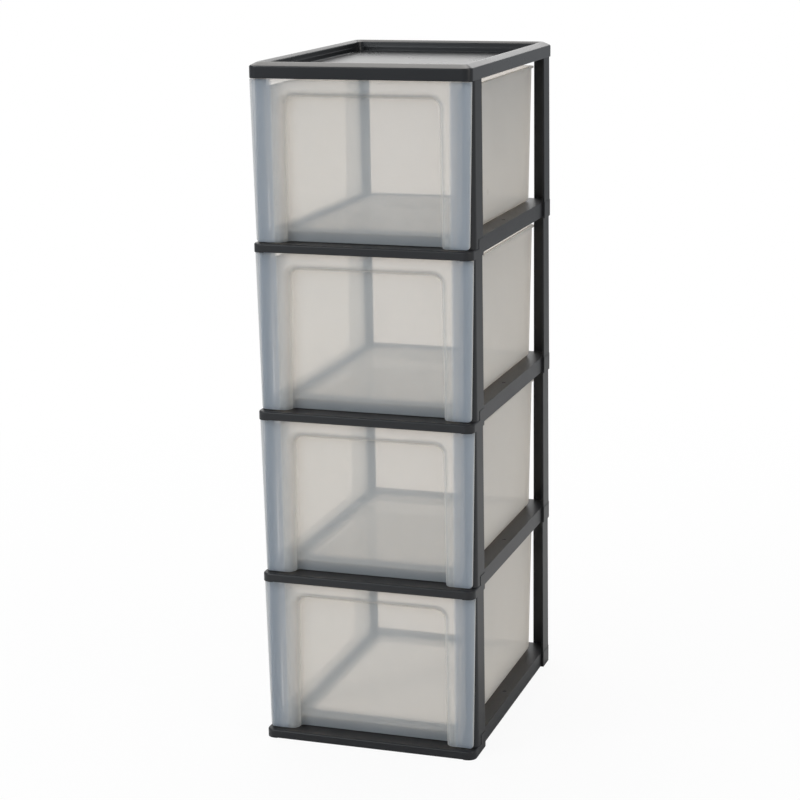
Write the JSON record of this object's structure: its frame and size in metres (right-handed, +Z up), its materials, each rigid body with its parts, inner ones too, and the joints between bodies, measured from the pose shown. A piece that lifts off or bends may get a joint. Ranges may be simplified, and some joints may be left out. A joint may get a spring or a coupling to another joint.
{
  "type": "plastic drawer tower",
  "caption": "Tall narrow tower of stacking black plastic frames, each carrying a clear drawer that slides out at the front, under a shallow tray-topped cap.",
  "frame": {"origin": "on the floor under the middle of the tower", "axes": "+Z up, the drawer fronts face -Y, +X towards the picture's right"},
  "size_m": [0.26, 0.355, 0.802],
  "materials": {
    "black_plastic": "satin",
    "clear_plastic": "translucent, lightly frosted"
  },
  "bodies": {
    "frame": {"top_cap": "black_plastic", "tier_frame_1": "black_plastic", "tier_frame_2": "black_plastic", "tier_frame_3": "black_plastic", "tier_frame_4": "black_plastic"},
    "drawer_body_1": {"drawer_1": "clear_plastic"},
    "drawer_body_2": {"drawer_2": "clear_plastic"},
    "drawer_body_3": {"drawer_3": "clear_plastic"},
    "drawer_body_4": {"drawer_4": "clear_plastic"}
  },
  "joints": [
    {"name": "drawer_1_slide", "type": "slide", "parent": "frame", "child": "drawer_body_1", "axis": [0, -1, 0], "range_m": [0, 0.25]},
    {"name": "drawer_2_slide", "type": "slide", "parent": "frame", "child": "drawer_body_2", "axis": [0, -1, 0], "range_m": [0, 0.25]},
    {"name": "drawer_3_slide", "type": "slide", "parent": "frame", "child": "drawer_body_3", "axis": [0, -1, 0], "range_m": [0, 0.25]},
    {"name": "drawer_4_slide", "type": "slide", "parent": "frame", "child": "drawer_body_4", "axis": [0, -1, 0], "range_m": [-0.003, 0.247]}
  ]
}
